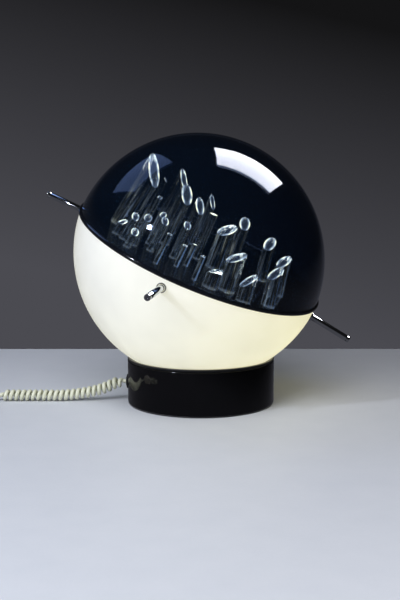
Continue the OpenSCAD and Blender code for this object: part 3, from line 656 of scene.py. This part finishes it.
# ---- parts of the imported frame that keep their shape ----
keeps = {"foot_ring": felt, "pole_tube": brass, "pole_nut": brass, "holder_body": phenolic, "holder_insert": glaze,
         "holder_sleeve": brass, "holder_contact": brass, "bulb_glass": bulbGlass, "bulb_cap": nickel,
         "rod_bosses": boss, "rod_plate": plateBlack, "plug_pins": nickel, "switch_screws": nickel}
for node, material in keeps.items():
    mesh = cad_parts[node].data
    mesh.materials.clear()
    mesh.materials.append(material)

# ---- cord bush ----
bush = {"top": -162.33, "bend": -166.03, "tip": -172.03, "wide": 8.0, "narrow": 4.5, "hole": 2.6, "socket": 5.1,
        "deep": -168.3, "soft": 0.4, "waist": ((5.6, -170.2), (5.3, -169.9), (6.5, -168.6), (6.2, -168.3))}
soft = bush["soft"]
bushShape = [(bush["hole"], bush["tip"] + soft), (bush["hole"] + soft, bush["tip"]), (bush["narrow"] - 0.5, bush["tip"]),
             (bush["narrow"], bush["tip"] + 0.5), *bush["waist"], (bush["wide"] - 0.3, bush["bend"] - soft),
             (bush["wide"], bush["bend"] + 0.3), (bush["wide"], bush["top"] - soft), (bush["wide"] - soft, bush["top"]),
             (bush["socket"], bush["top"]), (bush["socket"], bush["deep"]), (bush["hole"], bush["deep"])]
makePiece("cordBush", spinProfile(bushShape, steps["small"]), [blackMoulding], "lean", inBall,
          ["cord_bush"], crease=35)

# ---- cord switch ----
switch = {"at": (-288, -62, 0), "wide": 24, "long": 58, "half": 9.0, "round": 2.6, "ends": 9.5, "baseRound": 1.2,
          "parting": (0.15, 0.05), "slotWide": 8.6, "slotLong": 14.6, "slotDeep": 8.0}   # parting: the seam's two halves


def roundedBlock(wide, long, low, high, ends):
    bm = bmesh.new()
    size = Matrix.Diagonal((wide, long, high - low, 1))
    bmesh.ops.create_cube(bm, size=1, matrix=Matrix.Translation((0, 0, (low + high) / 2)) @ size)
    bevelLoose(bm, [e for e in bm.edges if abs(e.verts[0].co.z - e.verts[1].co.z) > 0.5 * (high - low)], ends, 10)
    return bm


def softEdges(bm, z, offset, segments):
    # rounds the edges that lie at one height round the outside
    level = [e for e in bm.edges if all(abs(v.co.z - z) < 1e-3 for v in e.verts) and e.calc_face_angle(0) > radians(60)]
    bevelLoose(bm, level, offset, segments)


seamLow, seamHigh = switch["half"] - switch["parting"][0], switch["half"] + switch["parting"][1]
lower = roundedBlock(switch["wide"], switch["long"], 0, seamLow, switch["ends"])
softEdges(lower, 0, switch["baseRound"], 4)
softEdges(lower, seamLow, 0.25, 1)
atSwitch = upright @ Matrix.Translation(switch["at"])
switchBase = makePiece("switchBase", lower, [ivory], "base", atSwitch, ["switch_base"], crease=40)

upper = roundedBlock(switch["wide"], switch["long"], seamHigh, 2 * switch["half"], switch["ends"])
softEdges(upper, 2 * switch["half"], switch["round"], 5)
slotX, slotY = switch["slotWide"] / 2, switch["slotLong"] / 2
for x, y in ((slotX, 0), (-slotX, 0), (0, slotY), (0, -slotY)):
    bmesh.ops.bisect_plane(upper, geom=everything(upper), plane_co=(x, y, 0), plane_no=(1, 0, 0) if x else (0, 1, 0))
slotFaces = []
for face in upper.faces:
    x, y, z = face.calc_center_median()
    if face.normal.z > 0.9 and abs(x) < slotX and abs(y) < slotY:
        slotFaces.append(face)
sunk = bmesh.ops.extrude_face_region(upper, geom=slotFaces)
bmesh.ops.delete(upper, geom=slotFaces, context="FACES")
slotFloor = [v for v in sunk["geom"] if isinstance(v, bmesh.types.BMVert)]
bmesh.ops.translate(upper, vec=(0, 0, -switch["slotDeep"]), verts=slotFloor)
switchCover = makePiece("switchCover", upper, [ivory], "base", atSwitch, ["switch_cover"], crease=40)

rocker = {"radius": 7.0, "wide": 8.0, "height": 14.0, "lean": 7, "dish": 8, "saddle": 4.6}
drum = bmesh.new()
bmesh.ops.create_cone(drum, cap_ends=True, segments=64, radius1=rocker["radius"], radius2=rocker["radius"],
                      depth=rocker["wide"], matrix=onSide)
for side in (1, -1):
    slope = Matrix.Rotation(radians(side * rocker["dish"]), 4, "X") @ Vector((0, 0, 1))
    bmesh.ops.bisect_plane(drum, geom=everything(drum), plane_co=(0, 0, 0), plane_no=(0, 1, 0))
    for v in [v for v in drum.verts if side * v.co.y > -1e-5]:
        reach = (v.co - Vector((0, 0, rocker["saddle"]))).dot(slope)
        if reach > 0:
            v.co -= Vector((0, 0, reach / slope.z))
atRocker = atSwitch @ Matrix.Translation((0, 0, rocker["height"])) @ Matrix.Rotation(radians(rocker["lean"]), 4, "X")
switchRocker = makePiece("switchRocker", drum, [red], "rocker", atRocker, ["switch_rocker"], crease=40, bevel=0.35)
print("switch made")

# ---- plug ----
plug = {"at": (-360, -91, 6.85), "thick": 13.7, "round": 2.4, "relief": 20.0,
        "outline": [(-5.5, 14), (5.5, 14), (17.5, 26), (15.5, 42), (12, 46), (-12, 46), (-15.5, 42), (-17.5, 26)]}
plugShape = bmesh.new()
underside = plugShape.faces.new([plugShape.verts.new((x, y, -plug["thick"] / 2)) for x, y in plug["outline"]])
pushOut(plugShape, [underside], (0, 0, plug["thick"]))
bmesh.ops.recalc_face_normals(plugShape, faces=plugShape.faces)
bevelEdges(plugShape, plugShape.edges[:], plug["round"], 5)
atPlug = upright @ Matrix.Translation(plug["at"])
plugBody = makePiece("plugBody", plugShape, [ivory], "base", atPlug, ["plug_body"], crease=40)

ribs = {"count": 6, "first": 1.2, "pitch": 2.9, "deep": 0.7, "hole": 2.6, "tip": 3.4, "root": 5.5}
reliefShape = [(ribs["hole"], 0.4), (3.0, 0)]
for i in range(ribs["count"]):
    y = ribs["first"] + i * ribs["pitch"]
    r = ribs["tip"] + 2.0 * y / plug["relief"]
    valley = r - ribs["deep"]
    reliefShape += [(r, y - 0.2), (r + 0.15, y + 0.3), (r + 0.15, y + 1.4), (valley, y + 1.6), (valley, y + 2.4)]
reliefShape += [(ribs["root"], 18.6), (ribs["root"], plug["relief"]), (ribs["hole"], plug["relief"])]
plugRelief = makePiece("plugRelief", spinProfile(reliefShape, 40), [ivory], "base",
                       atPlug @ Matrix.Rotation(radians(-90), 4, "X"), crease=35)

# ---- the tie round the coil ----
tie = {"wide": 7.0, "thick": 0.8, "inside": 17.7, "outside": 39.3, "low": 0.1, "high": 10.1, "round": 3.0, "tail": 9.0}
strap = bmesh.new()
around = [(tie["inside"], tie["low"]), (tie["outside"], tie["low"]), (tie["outside"], tie["high"]), (tie["inside"], tie["high"])]
hoop = strap.faces.new([strap.verts.new((-tie["wide"] / 2, -y, z)) for y, z in around])
pushOut(strap, [hoop], (tie["wide"], 0, 0))
bmesh.ops.recalc_face_normals(strap, faces=strap.faces)
bevelLoose(strap, [e for e in strap.edges if abs(e.verts[0].co.x - e.verts[1].co.x) > 1], tie["round"], 6)
bmesh.ops.delete(strap, geom=[f for f in strap.faces if abs(f.normal.x) > 0.9], context="FACES")
bmesh.ops.solidify(strap, geom=strap.faces[:], thickness=tie["thick"])


def addSlab(bm, place, size, soft, segments):
    slab = bmesh.ops.create_cube(bm, size=1, matrix=place @ Matrix.Diagonal((*size, 1)))
    bevelLoose(bm, list({e for v in slab["verts"] for e in v.link_edges}), soft, segments)


buckleAt = Matrix.Translation((0, -tie["inside"] - 7, tie["high"] + 1.0))
tailAt = Matrix.Translation((0, -tie["inside"] - 1.0, tie["high"] + 1.3)) @ Matrix.Rotation(radians(-9), 4, "X")
addSlab(strap, buckleAt, (tie["wide"] + 2, 5.0, 2.4), 0.6, 3)
addSlab(strap, tailAt, (tie["wide"] - 1, tie["tail"], tie["thick"]), 0.25, 2)
coilTie = makePiece("coilTie", strap, [blackMoulding], "base", upright @ Matrix.Translation((*cord["coilAt"], 0)),
                    crease=35)

# ---- floor, light and sky ----
room = {"floor": ("#cbcdd0", "#c3c6ca"), "wall": ("#141415", "#4b4b51"), "wide": 3.6, "front": 2.4, "back": 0.37}
ground = bmesh.new()
middleOfRoom = Matrix.Translation((0, (room["back"] - room["front"]) / 2, 0))
bmesh.ops.create_grid(ground, x_segments=1, y_segments=1, size=0.5,
                      matrix=middleOfRoom @ Matrix.Diagonal((room["wide"], room["back"] + room["front"], 1, 1)))
groundMesh = bpy.data.meshes.new("floor")
ground.to_mesh(groundMesh)
ground.free()
# pale matt laminate: nearly even, a faint cool mottle
groundMesh.materials.append(solidFinish("paleTable", *room["floor"], 0.5, 0.05, 3.0, {"IOR": 1.45}, 0.05, 0.05))
floorPiece = bpy.data.objects.new("floor", groundMesh)
floorPiece.visible_glossy = False   # the polished black parts stay deep black
scene.collection.objects.link(floorPiece)

sky = bpy.data.worlds.new("studio")
sky.use_nodes = True
facing = addNode(sky.node_tree, "ShaderNodeTexCoord")
split = addNode(sky.node_tree, "ShaderNodeSeparateXYZ", None, {0: facing.outputs["Generated"]})
slope = addNode(sky.node_tree, "ShaderNodeMath", {"operation": "MULTIPLY_ADD", 1: 0.245}, {0: split.outputs["X"], 2: split.outputs["Z"]})
up = rangeOf(sky.node_tree, slope.outputs[0], 0.0, 1.0, 0.16, -0.14)   # painted shade on the backdrop: lighter low down and to the left
wallColour = blendColours(sky.node_tree, up, paint(room["wall"][0]), paint(room["wall"][1]))
sky.node_tree.links.new(wallColour, sky.node_tree.nodes["Background"].inputs[0])
scene.world = sky
scene.view_settings.view_transform = "Standard"

# unseen: no mirror image of it; onlySeen: nothing but its mirror image
lamps = {"key": {"from": (-0.63, -0.60, 0.49), "far": 1.9, "size": (0.10, 0.10), "power": 12, "colour": "#e4ecff"},
         "side": {"from": (-0.52, -0.76, 0.36), "far": 1.7, "size": (0.8, 0.8), "power": 17, "colour": "#f2f6ff",
                  "unseen": True},
         "top": {"from": (0.466, 0.325, 0.823), "far": 1.3, "size": (0.86, 0.60), "power": 26, "colour": "#fbfaff",
                 "along": (0.55, 0.0, -0.31), "onlySeen": True},
         "left": {"from": (-0.535, 0.262, 0.803), "far": 1.3, "size": (0.72, 0.55), "power": 1.7, "colour": "#9cbcff",
                  "along": (0.43, 0.19, 0.19)},
         "front": {"from": (-0.02, -0.62, 0.76), "far": 2.6, "size": (1.5, 1.5), "power": 39, "colour": "#fbfbff",
                   "unseen": True}}
for name, lamp in lamps.items():
    light = bpy.data.lights.new(name, "AREA")
    light.shape = "RECTANGLE"
    light.size, light.size_y = lamp["size"]
    light.energy = lamp["power"]
    light.color = paint(lamp["colour"])[:3]
    back = Vector(lamp["from"]).normalized()
    across = Vector(lamp.get("along", back.cross(Vector((0, 0, 1)))))
    across = (across - across.dot(back) * back).normalized()
    turned = Matrix((across, back.cross(across), back)).transposed().to_4x4()
    holder = bpy.data.objects.new(name, light)
    holder.matrix_world = Matrix.Translation(centre + back * lamp["far"]) @ turned
    holder.visible_glossy = not lamp.get("unseen", False)
    holder.visible_diffuse = not lamp.get("onlySeen", False)
    scene.collection.objects.link(holder)
print("studio made")
